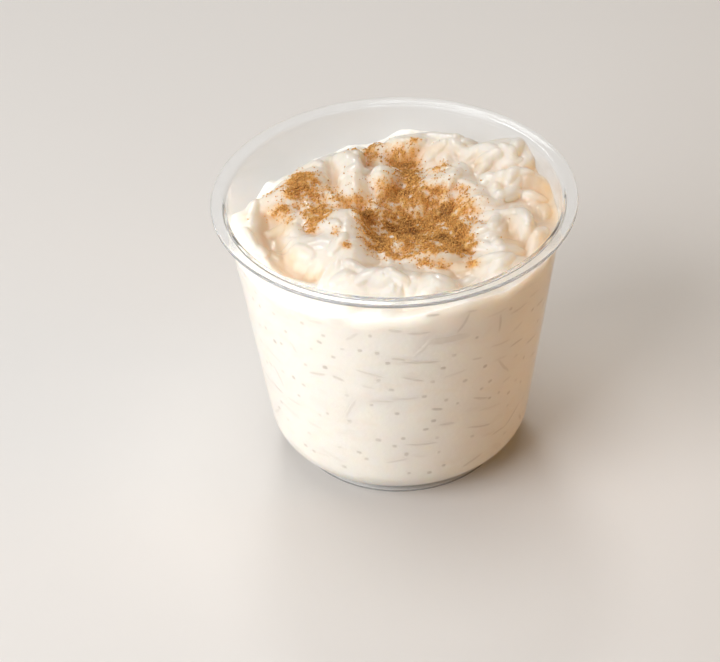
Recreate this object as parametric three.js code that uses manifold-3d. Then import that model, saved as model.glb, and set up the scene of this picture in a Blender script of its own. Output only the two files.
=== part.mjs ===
// Rice pudding in a clear plastic dessert cup, dusted with cinnamon.
// Millimetres, +Z up, origin on the table under the centre of the cup's foot.
// The viewer's side is -Y; +X is to the viewer's right.
import * as THREE from "three";
import { mergeVertices } from "three/addons/utils/BufferGeometryUtils.js";
import Module from "manifold-3d";

// Cup
const RIM_HEIGHT = 68.4;
const LIP_RADIUS = 42.5;
const LIP_THICKNESS = 1.0;
const MOUTH_RADIUS = 39.6;
const WALL_TAPER = 0.144;
const WALL = 0.7;
const UNDERSIDE = 2.3;
const BOTTOM_ROUND = 9.2;
const FOOT_RADIUS = 25.0;
const FOOT_WIDTH = 1.6;
const FOOT_EDGE = 0.4;
const LIP_FILLET = 1.0;
const MOUTH_ROUND = 0.9;
const TURNS = 64;

// Pudding
const CLEARANCE = 0.3;
const EDGE_LEVEL = -6.8;
const CROWN_LEVEL = -4.6;
const HEAP_RADIUS = 38.0;
const KNEE_LEVEL = -3.0;
const CREST_SPAN = 2.3;
const TOP_RINGS = 14;
const SIDE_BANDS = 3;

// Rice
const GRAINS = 84;
const GRAIN_FIELD = 34.6;
const GRAIN_SEED = 7;
const GRAIN_SIDES = 5;
const GOLDEN_ANGLE = 2.399963;

// Spooned lumps of the heap: x, y, half width, half length, turn in degrees, rise.
const LUMPS = [
  [-9.6, 18.6, 5.6, 9.5, 5, 5.6],
  [-9.6, 9.6, 4.8, 6.2, 0, 3.0],
  [-2.6, 13.0, 5.6, 5.8, 0, 4.8],
  [-21.4, 12.8, 9.5, 8.5, 15, 3.0],
  [-16.9, 20.2, 8.5, 8.0, 0, 2.2],
  [-11.4, -5.6, 8.5, 8.0, 0, 4.8],
  [-11.8, -11.2, 7.0, 6.5, 0, 1.3],
  [-12.0, -16.1, 9.5, 9.5, 0, 4.0],
  [-10.5, -26.9, 9.5, 8.5, 0, 3.2],
  [-21.2, -14.1, 7.5, 9.0, -10, 3.2],
  [-34.4, -1.6, 6.0, 13.0, 4, 1.5],
  [-30.4, -15.6, 4.8, 10.0, 27, 1.5],
  [-28.7, 6.9, 8.0, 7.0, 0, 2.2],
  [-1.0, -26.5, 8.0, 7.5, 0, 3.4],
  [7.7, -28.8, 8.0, 8.0, 0, 3.4],
  [1.0, -13.4, 4.5, 3.2, 0, 1.6],
  [10.0, -18.8, 10.0, 4.5, 0, 2.6],
  [14.0, -34.0, 15.0, 7.5, 20, 2.2],
  [22.1, -12.3, 8.0, 8.0, 0, 3.0],
  [23.5, -21.8, 11.0, 7.0, 20, 2.8],
  [30.1, -7.9, 5.0, 10.0, 22, 2.8],
  [25.9, -4.5, 6.5, 8.0, 10, 1.6],
  [28.4, 22.8, 9.5, 8.5, -20, 7.0],
  [22.8, 20.2, 8.0, 7.0, 0, 4.6],
  [27.1, 11.3, 8.0, 8.0, 0, 3.6],
  [32.6, 12.7, 6.0, 9.0, 25, 2.4],
  [8.4, 26.9, 12.0, 8.5, -4, 4.2],
  [0.5, 26.6, 8.0, 7.0, 0, 2.4],
  [16.7, 24.7, 7.0, 7.0, 0, 3.6],
  [14.9, 13.5, 9.0, 8.5, 0, 2.8],
  [8.4, 8.7, 8.0, 7.0, 0, 1.6],
  [20.0, 4.5, 8.0, 8.0, 0, 2.2],
];

// Hollows between the lumps, in the same order of values, with a depth.
const HOLLOWS = [
  [6.1, 0.6, 16.5, 11.5, -6, 4.0],
  [-5.4, -4.1, 4.5, 11.0, 16, 2.6],
  [2.3, -4.4, 9.0, 5.5, 0, 3.0],
  [13.0, -9.4, 7.0, 4.0, 0, 1.8],
  [-26.6, 25.3, 12.0, 10.0, 30, 3.6],
  [-33.0, 15.2, 10.0, 9.0, 45, 5.4],
  [-28.6, -4.8, 5.0, 10.0, 6, 2.2],
  [-26.2, -11.5, 3.2, 8.0, 24, 1.7],
  [-22.9, -19.3, 9.0, 4.0, -35, 2.4],
  [-6.0, 21.1, 2.6, 8.0, 8, 1.6],
  [-6.3, 16.5, 1.9, 8.0, 4, 2.0],
  [-14.4, 14.5, 2.0, 8.0, 5, 1.8],
  [-9.5, 3.6, 6.0, 2.8, 0, 1.8],
  [2.8, 22.2, 7.0, 4.5, 0, 2.8],
  [18.2, 20.6, 4.0, 6.0, 20, 1.2],
  [-9.0, 33.5, 14.0, 7.5, 0, 2.4],
  [-20.5, 31.5, 8.0, 15.0, 123, 3.6],
  [-36.5, 9.5, 5.0, 7.0, 165, 2.4],
  [-4.5, 37.0, 7.0, 6.0, 0, 2.2],
];

// Clotted cinnamon on the heap: x, y, width.
const CLOTS = [
  [-22.4, 11.6, 4.6],
  [-19.6, 14.0, 3.2],
  [-17.6, -1.8, 3.8],
  [-5.2, 20.6, 3.0],
  [3.2, 14.8, 3.6],
  [-6.8, -0.6, 3.8],
  [-2.6, -8.2, 3.2],
  [3.4, -2.6, 4.2],
  [10.4, 0.6, 4.6],
  [14.2, -8.6, 3.8],
];

const wallAngle = Math.atan(WALL_TAPER);
const roundHeight = UNDERSIDE + BOTTOM_ROUND;
const outerAt = (z) => MOUTH_RADIUS - WALL_TAPER * (RIM_HEIGHT - z);
const innerAt = (z) => outerAt(z) - WALL / Math.cos(wallAngle);
const roundRadius = outerAt(roundHeight) - BOTTOM_ROUND / Math.cos(wallAngle);

function arc(r, z, radius, from, to, steps) {
  const points = [];
  for (let i = 0; i <= steps; i++) {
    const a = from + ((to - from) * i) / steps;
    points.push(new THREE.Vector2(r + radius * Math.cos(a), z + radius * Math.sin(a)));
  }
  return points;
}

// Cup: one turned profile, out along the underside and foot, up the outside, over the lip and down inside.
function cupGeometry() {
  const footIn = FOOT_RADIUS - FOOT_WIDTH;
  const footRise = -Math.PI / 2 + Math.asin((FOOT_RADIUS - roundRadius) / BOTTOM_ROUND);
  const lipUnder = RIM_HEIGHT - LIP_THICKNESS;
  const filletBase = lipUnder - LIP_FILLET;
  const edge = LIP_THICKNESS / 2;
  const mouthBase = RIM_HEIGHT - MOUTH_ROUND;
  const profile = [
    new THREE.Vector2(0, UNDERSIDE),
    new THREE.Vector2(footIn - FOOT_EDGE, UNDERSIDE),
    new THREE.Vector2(footIn, FOOT_EDGE),
    new THREE.Vector2(footIn + FOOT_EDGE, 0),
    new THREE.Vector2(FOOT_RADIUS - FOOT_EDGE, 0),
    new THREE.Vector2(FOOT_RADIUS, FOOT_EDGE),
    ...arc(roundRadius, roundHeight, BOTTOM_ROUND, footRise, -wallAngle, 6),
    ...arc(outerAt(filletBase) + LIP_FILLET, filletBase, LIP_FILLET, Math.PI, Math.PI / 2, 3),
    ...arc(LIP_RADIUS - edge, RIM_HEIGHT - edge, edge, -Math.PI / 2, Math.PI / 2, 4),
    ...arc(innerAt(mouthBase) + MOUTH_ROUND, mouthBase, MOUTH_ROUND, Math.PI / 2, Math.PI, 3),
    ...arc(roundRadius, roundHeight, BOTTOM_ROUND - WALL, -wallAngle, -Math.PI / 2, 6),
    new THREE.Vector2(0, UNDERSIDE + WALL),
  ];
  return closed(new THREE.LatheGeometry(profile, TURNS).rotateX(Math.PI / 2));
}

function bump(x, y, [cx, cy, wide, long, turn, rise]) {
  const a = THREE.MathUtils.degToRad(turn);
  const u = (Math.cos(a) * (x - cx) + Math.sin(a) * (y - cy)) / wide;
  const v = (-Math.sin(a) * (x - cx) + Math.cos(a) * (y - cy)) / long;
  const d = Math.max(0, 1 - u * u - v * v);
  return rise * d * d;
}

// Height of the pudding's surface over the table at a point.
function surface(x, y) {
  const fall = Math.max(0, 1 - (x * x + y * y) / HEAP_RADIUS ** 2);
  let z = RIM_HEIGHT + EDGE_LEVEL + (CROWN_LEVEL - EDGE_LEVEL) * fall;
  for (const lump of LUMPS) z += bump(x, y, lump);
  for (const hollow of HOLLOWS) z -= bump(x, y, hollow);
  const over = z - RIM_HEIGHT - KNEE_LEVEL;
  return over > 0 ? z - over + CREST_SPAN * (1 - Math.exp(-over / CREST_SPAN)) : z;
}

const fillAt = (z) => innerAt(z) - CLEARANCE / Math.cos(wallAngle);

// Height at which the surface meets the fill's side in a direction.
function shoreline(c, s) {
  let z = RIM_HEIGHT + EDGE_LEVEL;
  for (let i = 0; i < 8; i++) z = surface(fillAt(z) * c, fillAt(z) * s);
  return z;
}

// Core of the pudding: a turned fill whose side ends at the uneven shoreline and whose top follows the surface.
function coreGeometry() {
  const base = arc(roundRadius, roundHeight, BOTTOM_ROUND - WALL - CLEARANCE, -Math.PI / 2, -wallAngle, 6);
  const profile = [new THREE.Vector2(0, base[0].y), ...base];
  const sideStart = base[base.length - 1].y;
  const firstSide = profile.length;
  for (let i = 1; i <= SIDE_BANDS; i++) profile.push(new THREE.Vector2(30 + i, 20 + i));
  const firstRing = profile.length;
  for (let i = 1; i <= TOP_RINGS; i++) profile.push(new THREE.Vector2((30 * (TOP_RINGS - i)) / TOP_RINGS, 60));
  const geometry = new THREE.LatheGeometry(profile, TURNS).rotateX(Math.PI / 2);
  const position = geometry.attributes.position;
  for (let i = 0; i <= TURNS; i++) {
    const phi = ((i % TURNS) / TURNS) * 2 * Math.PI;
    const c = Math.sin(phi);
    const s = -Math.cos(phi);
    const shore = shoreline(c, s);
    for (let j = firstSide; j < profile.length; j++) {
      let z = sideStart + ((shore - sideStart) * (j - firstSide + 1)) / SIDE_BANDS;
      let r = fillAt(z);
      if (j >= firstRing) {
        r = (fillAt(shore) * (profile.length - 1 - j)) / TOP_RINGS;
        z = surface(r * c, r * s);
      }
      position.setXYZ(i * profile.length + j, r * c, r * s, z);
    }
  }
  return closed(geometry);
}

// Numbers from 0 to 1, the same on every run.
function seeded(seed) {
  let state = seed;
  return (low, high) => {
    state = (Math.imul(state, 1664525) + 1013904223) >>> 0;
    return low + ((high - low) * state) / 4294967296;
  };
}

// Rice: grains laid evenly over the heap along a golden spiral, each lying on the surface and partly sunk in it.
function grainGeometries() {
  const draw = seeded(GRAIN_SEED);
  const grains = [];
  for (let i = 0; i < GRAINS; i++) {
    const reach = GRAIN_FIELD * Math.sqrt((i + 0.5) / GRAINS);
    const x = reach * Math.cos(i * GOLDEN_ANGLE) + draw(-1, 1);
    const y = reach * Math.sin(i * GOLDEN_ANGLE) + draw(-1, 1);
    let yaw = draw(0, Math.PI);
    const length = draw(6.6, 9.0);
    const thick = draw(2.6, 3.2);
    const sink = draw(0.35, 0.95);
    const tip = draw(-0.2, 0.2);
    if (reach > GRAIN_FIELD - 4.5) yaw = Math.atan2(y, x) + Math.PI / 2;
    const c = Math.cos(yaw);
    const s = Math.sin(yaw);
    const ahead = surface(x + 2.5 * c, y + 2.5 * s);
    const behind = surface(x - 2.5 * c, y - 2.5 * s);
    const pitch = Math.atan2(ahead - behind, 5) + tip;
    const z = (ahead + behind) / 4 + surface(x, y) / 2 - sink;
    const along = new THREE.Vector3(c * Math.cos(pitch), s * Math.cos(pitch), Math.sin(pitch));
    const grain = new THREE.SphereGeometry(1, GRAIN_SIDES, 4).scale(thick / 2, length / 2, thick / 2);
    grain.applyQuaternion(new THREE.Quaternion().setFromUnitVectors(new THREE.Vector3(0, 1, 0), along));
    grains.push(grain.translate(x, y, z));
  }
  return grains;
}

// Clots of cinnamon: low uneven crumbs pressed into the surface.
function clotGeometries() {
  return CLOTS.map(([x, y, width], i) => {
    const clot = new THREE.IcosahedronGeometry(1, 0).rotateZ(i * GOLDEN_ANGLE);
    return clot.scale(width / 2, width / 2.6, 0.75).translate(x, y, surface(x, y) + 0.15);
  });
}

// A geometry with shared vertices and no attribute but position.
function closed(geometry) {
  const bare = geometry.clone();
  bare.deleteAttribute("normal");
  bare.deleteAttribute("uv");
  return mergeVertices(bare, 1e-4);
}

const wasm = await Module();
wasm.setup();

function solid(geometry) {
  const bare = closed(geometry);
  const index = bare.index.array;
  const p = bare.attributes.position.array;
  const kept = [];
  for (let i = 0; i < index.length; i += 3) {
    const [a, b, c] = [index[i], index[i + 1], index[i + 2]];
    if (a !== b && b !== c && c !== a) kept.push(a, b, c);
  }
  const mesh = new wasm.Mesh({ numProp: 3, vertProperties: new Float32Array(p), triVerts: new Uint32Array(kept) });
  return new wasm.Manifold(mesh);
}

// Fuses the pieces and keeps the outer skin of the one body they make.
function fused(geometries) {
  let whole = solid(geometries[0]);
  for (const piece of geometries.slice(1)) whole = whole.add(solid(piece));
  const bodies = whole.decompose().sort((a, b) => b.volume() - a.volume());
  const { vertProperties, triVerts, numProp } = bodies[0].getMesh();
  const geometry = new THREE.BufferGeometry();
  const points = new Float32Array((vertProperties.length / numProp) * 3);
  for (let i = 0; i < points.length / 3; i++) {
    for (let k = 0; k < 3; k++) points[3 * i + k] = vertProperties[numProp * i + k];
  }
  geometry.setAttribute("position", new THREE.BufferAttribute(points, 3));
  geometry.setIndex(new THREE.BufferAttribute(new Uint32Array(triVerts), 1));
  return geometry;
}

const clearPlastic = new THREE.MeshStandardMaterial({
  color: 0xe9eef0,
  roughness: 0.12,
  metalness: 0,
  transparent: true,
  opacity: 0.35,
});
const cream = new THREE.MeshStandardMaterial({ color: 0xf3e8d6, roughness: 0.38, metalness: 0 });

const cup = new THREE.Mesh(cupGeometry(), clearPlastic);
cup.name = "cup";

const pudding = new THREE.Mesh(fused([coreGeometry(), ...grainGeometries(), ...clotGeometries()]), cream);
pudding.name = "pudding";

const part = new THREE.Group();
part.add(cup, pudding);

export default part;
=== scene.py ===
"""Rice pudding in a clear plastic cup, dusted with cinnamon: a Blender scene laid out as an add-on."""

import math
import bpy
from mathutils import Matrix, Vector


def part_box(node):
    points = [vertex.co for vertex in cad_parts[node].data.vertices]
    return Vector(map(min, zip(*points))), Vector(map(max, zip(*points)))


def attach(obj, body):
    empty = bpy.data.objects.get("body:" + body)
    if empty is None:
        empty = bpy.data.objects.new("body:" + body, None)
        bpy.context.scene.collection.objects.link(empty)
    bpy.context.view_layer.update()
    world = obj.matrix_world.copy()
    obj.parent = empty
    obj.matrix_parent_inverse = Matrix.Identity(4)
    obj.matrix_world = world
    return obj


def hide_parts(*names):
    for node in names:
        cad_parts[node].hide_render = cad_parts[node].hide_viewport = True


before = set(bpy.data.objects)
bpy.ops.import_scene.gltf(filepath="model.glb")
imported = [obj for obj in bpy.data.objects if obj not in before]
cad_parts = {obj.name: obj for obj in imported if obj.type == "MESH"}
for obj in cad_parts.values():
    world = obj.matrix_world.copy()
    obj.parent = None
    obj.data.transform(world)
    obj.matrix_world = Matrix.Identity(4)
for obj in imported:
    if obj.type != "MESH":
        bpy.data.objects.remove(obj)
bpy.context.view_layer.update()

from types import SimpleNamespace

import bpy
import numpy as np
from mathutils import Matrix, Vector

bl_info = {
    "name": "Rice pudding cup",
    "version": (1, 0, 0),
    "blender": (4, 5, 0),
    "location": "View3D > Sidebar > Dessert",
    "description": "A clear plastic cup of rice pudding dusted with ground cinnamon",
    "category": "Object",
}

CUP_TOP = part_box("cup")[1]
MM = 0.001
GOLDEN_ANGLE = 2.399963

# Spooned lumps of the heap in millimetres: x, y, half width, half length, turn in degrees, rise.
LUMPS = (
    (-9.6, 18.6, 5.6, 9.5, 5, 5.6),
    (-9.6, 9.6, 4.8, 6.2, 0, 3.0),
    (-2.6, 13.0, 5.6, 5.8, 0, 4.8),
    (-21.4, 12.8, 9.5, 8.5, 15, 3.0),
    (-16.9, 20.2, 8.5, 8.0, 0, 2.2),
    (-11.4, -5.6, 8.5, 8.0, 0, 4.8),
    (-11.8, -11.2, 7.0, 6.5, 0, 1.3),
    (-12.0, -16.1, 9.5, 9.5, 0, 4.0),
    (-10.5, -26.9, 9.5, 8.5, 0, 3.2),
    (-21.2, -14.1, 7.5, 9.0, -10, 3.2),
    (-34.4, -1.6, 6.0, 13.0, 4, 1.5),
    (-30.4, -15.6, 4.8, 10.0, 27, 1.5),
    (-28.7, 6.9, 8.0, 7.0, 0, 2.2),
    (-1.0, -26.5, 8.0, 7.5, 0, 3.4),
    (7.7, -28.8, 8.0, 8.0, 0, 3.4),
    (1.0, -13.4, 4.5, 3.2, 0, 1.6),
    (10.0, -18.8, 10.0, 4.5, 0, 2.6),
    (14.0, -34.0, 15.0, 7.5, 20, 2.2),
    (22.1, -12.3, 8.0, 8.0, 0, 3.0),
    (23.5, -21.8, 11.0, 7.0, 20, 2.8),
    (30.1, -7.9, 5.0, 10.0, 22, 2.8),
    (25.9, -4.5, 6.5, 8.0, 10, 1.6),
    (28.4, 22.8, 9.5, 8.5, -20, 7.0),
    (22.8, 20.2, 8.0, 7.0, 0, 4.6),
    (27.1, 11.3, 8.0, 8.0, 0, 3.6),
    (32.6, 12.7, 6.0, 9.0, 25, 2.4),
    (8.4, 26.9, 12.0, 8.5, -4, 4.2),
    (0.5, 26.6, 8.0, 7.0, 0, 2.4),
    (16.7, 24.7, 7.0, 7.0, 0, 3.6),
    (14.9, 13.5, 9.0, 8.5, 0, 2.8),
    (8.4, 8.7, 8.0, 7.0, 0, 1.6),
    (20.0, 4.5, 8.0, 8.0, 0, 2.2),
)

# Hollows between the lumps, in the same order of values, with a depth.
HOLLOWS = (
    (6.1, 0.6, 16.5, 11.5, -6, 4.0),
    (-5.4, -4.1, 4.5, 11.0, 16, 2.6),
    (2.3, -4.4, 9.0, 5.5, 0, 3.0),
    (13.0, -9.4, 7.0, 4.0, 0, 1.8),
    (-26.6, 25.3, 12.0, 10.0, 30, 3.6),
    (-33.0, 15.2, 10.0, 9.0, 45, 5.4),
    (-28.6, -4.8, 5.0, 10.0, 6, 2.2),
    (-26.2, -11.5, 3.2, 8.0, 24, 1.7),
    (-22.9, -19.3, 9.0, 4.0, -35, 2.4),
    (-6.0, 21.1, 2.6, 8.0, 8, 1.6),
    (-6.3, 16.5, 1.9, 8.0, 4, 2.0),
    (-14.4, 14.5, 2.0, 8.0, 5, 1.8),
    (-9.5, 3.6, 6.0, 2.8, 0, 1.8),
    (2.8, 22.2, 7.0, 4.5, 0, 2.8),
    (18.2, 20.6, 4.0, 6.0, 20, 1.2),
    (-9.0, 33.5, 14.0, 7.5, 0, 2.4),
    (-20.5, 31.5, 8.0, 15.0, 123, 3.6),
    (-36.5, 9.5, 5.0, 7.0, 165, 2.4),
    (-4.5, 37.0, 7.0, 6.0, 0, 2.2),
)

# Bubbles and knobs finer than the part's solids show, in the order of values of the lumps.
SMALL_RELIEF = (
    (-7.4, 27.4, 1.8, 1.8, 0, 1.2),
    (-4.4, 27.0, 3.2, 3.2, 0, 1.3),
    (-0.8, -30.5, 1.0, 1.0, 0, 0.6),
    (0.7, -30.8, 0.85, 0.85, 0, 0.5),
    (-3.2, -27.6, 0.6, 0.6, 0, 0.3),
    (17.9, -22.6, 0.8, 0.8, 0, 0.4),
    (-24.3, -11.2, 0.8, 0.8, 0, 0.4),
)

# Dustings of cinnamon in millimetres: x, y, half width, half depth, strength.
DUSTINGS = (
    (-22.0, 11.0, 3.8, 5.0, 1.0),
    (-26.6, 2.5, 2.6, 1.6, 0.95),
    (-29.5, 9.5, 3.0, 2.0, 0.5),
    (-35.0, 0.0, 2.0, 2.0, 0.2),
    (-17.8, 0.1, 3.4, 5.0, 0.95),
    (-19.4, -6.4, 1.6, 2.4, 0.6),
    (-16.1, 8.8, 4.6, 4.4, 0.3),
    (-11.5, 5.2, 3.2, 1.4, 0.5),
    (-4.9, 26.4, 3.2, 4.4, 0.62),
    (1.2, 22.5, 3.6, 2.6, 0.75),
    (3.5, 18.0, 2.6, 4.4, 1.2),
    (11.1, 16.6, 2.4, 2.8, 0.65),
    (-0.9, 8.4, 4.0, 3.0, 0.6),
    (8.9, 8.2, 3.6, 2.8, 0.45),
    (-7.1, 1.6, 2.8, 3.6, 1.1),
    (2.3, -1.6, 6.0, 3.2, 1.35),
    (-4.6, -8.6, 2.8, 3.6, 0.9),
    (5.0, -7.2, 3.0, 2.2, 0.7),
    (8.6, -9.6, 3.6, 3.0, 0.8),
    (0.0, -9.8, 3.4, 1.6, 1.0),
    (5.2, -11.2, 4.0, 2.2, 0.75),
    (5.5, -13.9, 3.2, 1.6, 0.6),
    (9.6, -18.2, 4.2, 1.8, 0.65),
    (14.8, -16.8, 3.0, 2.2, 0.7),
    (17.4, -14.2, 1.8, 1.8, 0.45),
    (2.4, -18.6, 2.6, 1.4, 0.45),
    (6.2, -17.6, 2.2, 1.4, 0.45),
    (4.0, 12.0, 2.2, 3.4, 0.8),
    (3.6, 8.2, 2.4, 2.0, 0.5),
    (-7.4, -4.6, 1.8, 2.6, 0.75),
    (-24.8, -1.0, 2.0, 1.8, 0.35),
    (-24.4, 6.8, 1.6, 2.0, 0.55),
    (16.2, 7.8, 2.2, 1.6, 0.3),
    (2.5, 4.8, 6.6, 3.6, 0.3),
    (1.6, 2.0, 4.6, 2.0, 0.4),
    (12.0, 2.3, 5.4, 4.4, 0.95),
    (13.8, -6.4, 4.6, 5.0, 0.95),
    (13.6, -12.4, 3.2, 2.6, 1.2),
    (-3.6, -13.4, 3.2, 4.2, 0.95),
    (1.0, -15.8, 3.4, 2.8, 0.5),
    (6.3, -21.6, 2.2, 1.8, 0.6),
    (10.1, -22.2, 2.4, 1.8, 0.55),
    (17.2, -21.4, 1.9, 2.0, 0.65),
    (19.4, 1.3, 2.6, 3.0, 0.2),
    (5.6, 25.3, 1.4, 1.4, 0.6),
    (-9.6, 24.0, 1.8, 2.0, 0.5),
    (-13.7, -11.2, 1.5, 1.8, 0.35),
    (-11.0, -16.8, 2.0, 1.8, 0.4),
    (2.0, 4.0, 24.0, 21.0, 0.09),
)

# Places where shade is painted on the cream as a tan tint, in the same order of values.
PAINTED_SHADE_PLACES = (
    (-24.8, -2.6, 2.4, 2.8, 0.8),
    (-29.2, 0.4, 2.4, 5.0, 0.9),
    (-29.2, -6.0, 2.2, 6.0, 0.9),
    (-27.6, -13.0, 2.6, 4.0, 1.1),
    (-24.8, -18.0, 3.0, 3.0, 1.0),
    (-21.0, -22.4, 4.0, 2.6, 0.9),
    (19.8, 16.7, 1.8, 2.4, 0.8),
    (24.9, 9.0, 2.4, 3.0, 0.4),
    (26.2, -8.0, 2.2, 5.0, 0.8),
    (25.7, -13.0, 2.6, 3.0, 0.7),
    (32.5, 2.0, 2.6, 4.0, 0.6),
    (35.2, 8.6, 2.2, 4.0, 0.9),
    (36.2, 0.8, 2.2, 6.0, 1.1),
    (31.4, 9.6, 1.8, 2.2, 0.6),
    (30.0, -14.8, 3.0, 3.0, 0.5),
    (32.0, -11.2, 2.2, 3.0, 0.6),
    (15.0, -23.2, 4.0, 2.6, 0.9),
    (-7.6, -13.0, 1.8, 4.0, 0.5),
    (-9.9, -25.0, 1.2, 5.0, 0.35),
    (5.3, -28.0, 1.8, 3.0, 0.6),
    (1.9, -29.4, 1.6, 2.0, 0.5),
    (11.2, 22.9, 4.0, 2.0, 0.5),
    (6.0, 23.4, 4.0, 2.0, 0.5),
    (-7.9, 8.6, 2.0, 4.0, 0.12),
    (13.4, -21.0, 6.0, 1.6, 0.5),
    (-13.8, 13.3, 1.6, 5.0, 0.35),
)

# Places where the cream covers the rice, in the same order of values.
SMOOTH_PLACES = (
    (-11.5, -8.0, 7.0, 9.0, 1.0),
    (-11.5, -21.0, 8.0, 10.0, 1.0),
    (-9.3, 15.0, 6.0, 9.0, 1.0),
    (-2.6, 12.0, 6.0, 6.0, 1.0),
    (8.0, 27.5, 10.0, 7.0, 0.8),
    (-25.0, -11.0, 7.0, 9.0, 0.6),
    (2.0, -26.0, 8.0, 7.0, 0.7),
    (-33.0, 0.0, 6.0, 12.0, 1.0),
)

# Grains that stand clear of the cream: x, y, heading in degrees, length, thickness, rise over the cream.
CLEAR_GRAINS = (
    (29.9, -4.6, -79, 9.4, 3.2, 1.3),
    (26.3, 5.5, 25, 7.6, 3.0, 1.0),
    (32.4, 6.2, -10, 6.8, 2.8, 0.9),
    (29.4, 21.5, 70, 7.4, 3.0, 0.5),
    (31.6, 18.0, 59, 6.4, 2.9, 0.5),
    (27.4, 16.5, 22, 6.6, 3.0, 0.5),
    (22.8, 18.3, 10, 7.0, 3.0, 0.5),
    (27.7, 11.2, 65, 6.6, 2.8, 0.6),
    (21.9, 11.7, 64, 6.6, 2.9, 0.5),
    (23.0, -6.4, 80, 8.4, 3.1, 1.0),
    (26.5, -16.2, 21, 7.2, 3.0, 0.9),
    (21.4, -20.6, 14, 7.6, 3.0, 0.8),
    (33.6, -8.6, 72, 7.0, 2.7, 0.9),
    (16.0, 28.4, 60, 6.2, 2.4, 0.5),
    (18.6, 26.4, 40, 6.0, 2.4, 0.5),
    (19.4, -7.4, 77, 7.4, 2.9, 0.8),
    (-33.6, -8.0, -71, 7.8, 2.9, 0.7),
)

# Rice pressed against the wall on the viewer's side: angle, height, length, width, slope, strength.
WALL_GRAINS = (
    (-82.9, 56.6, 6.4, 0.8, -2, 0.45),
    (-82.2, 47.3, 10.6, 0.8, -7, 0.5),
    (-100.8, 43.8, 7.8, 0.9, -15, 0.4),
    (-85.0, 42.1, 6.2, 0.8, -19, 0.5),
    (-46.3, 37.4, 9.0, 0.9, -55, 0.45),
    (-55.1, 20.9, 9.6, 0.8, -20, 0.5),
    (-81.6, 20.3, 9.0, 0.8, -4, 0.4),
    (-92.0, 15.2, 6.4, 0.8, 15, 0.35),
    (-51.2, 52.6, 6.4, 0.9, -88, 0.45),
    (-78.1, 61.7, 3.4, 0.7, -2, 0.4),
    (-63.7, 60.2, 3.4, 0.7, -11, 0.4),
    (-72.6, 53.2, 13.0, 2.8, -3, 0.42),
    (-56.4, 30.5, 5.6, 0.9, -27, 0.45),
    (-75.5, 31.3, 3.2, 1.0, -15, 0.7),
    (-97.6, 50.7, 1.4, 1.2, 0, 0.6),
    (-56.1, 40.7, 1.4, 1.2, 0, 0.8),
    (-91.3, 31.0, 1.4, 1.2, 0, 0.6),
    (-76.8, 27.6, 1.5, 1.2, 0, 0.7),
    (-110.7, 27.2, 1.4, 1.2, 0, 0.5),
    (-125.2, 55.4, 1.5, 1.2, 0, 0.5),
    (-117.0, 53.5, 1.4, 1.2, 0, 0.5),
    (-80.7, 36.3, 1.5, 1.1, 0, 0.6),
    (-40.4, 26.9, 1.4, 1.2, 0, 0.6),
    (-64.6, 38.3, 1.6, 1.2, 0, 0.6),
    (-89.1, 22.9, 1.4, 1.1, 0, 0.6),
    (-78.0, 10.4, 1.4, 1.2, 0, 0.7),
    (-105.0, 15.1, 1.4, 1.1, 0, 0.5),
)

# Soft square lamps: name, place and size in metres, watts, tint.
LAMPS = (
    ("key_lamp", (-0.55, -0.40, 0.45), 0.60, 5.45, (0.97, 0.972, 1.0)),
    ("back_lamp", (-0.10, 0.72, 0.80), 0.20, 1.6, (0.98, 0.99, 1.0)),
    ("top_lamp", (-0.04, 0.16, 0.82), 0.50, 2.2, (1.0, 0.99, 0.97)),
    ("warm_fill", (0.60, -0.10, 0.16), 0.30, 0.65, (1.0, 0.47, 0.04)),
)
LAMP_AIM = (0.0, 0.0, 0.045)

# One speck of cinnamon: the corners and sides of an eight-sided crumb.
SPECK_CORNERS = ((1, 0, 0), (-1, 0, 0), (0, 1, 0), (0, -1, 0), (0, 0, 1), (0, 0, -1))
SPECK_SIDES = ((0, 2, 4), (2, 1, 4), (1, 3, 4), (3, 0, 4), (2, 0, 5), (1, 2, 5), (3, 1, 5), (0, 3, 5))

# Unevenness of the cream and of the dusting: height or share, wavelength in millimetres, seed.
CREAM_RIPPLES = ((0.16, 8.0, 3), (0.03, 2.6, 5))
DUSTING_RIPPLES = ((0.2, 3.4, 11), (0.13, 1.5, 13))


def length(name, description, default):
    """A length property in metres."""
    return bpy.props.FloatProperty(
        name=name, description=description, default=default, unit="LENGTH", precision=5
    )


def ratio(name, description, default):
    """A plain number property."""
    return bpy.props.FloatProperty(name=name, description=description, default=default)


def how_many(name, description, default):
    """A property that counts pieces."""
    return bpy.props.IntProperty(name=name, description=description, default=default, min=0)


def degrees(name, description, default):
    """An angle property, with its default in degrees."""
    return bpy.props.FloatProperty(
        name=name, description=description, default=math.radians(default), unit="ROTATION"
    )


def colour(name, description, default):
    """A colour property, in linear values."""
    return bpy.props.FloatVectorProperty(
        name=name, description=description, default=default, subtype="COLOR", size=3, min=0.0, max=1.0
    )


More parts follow.
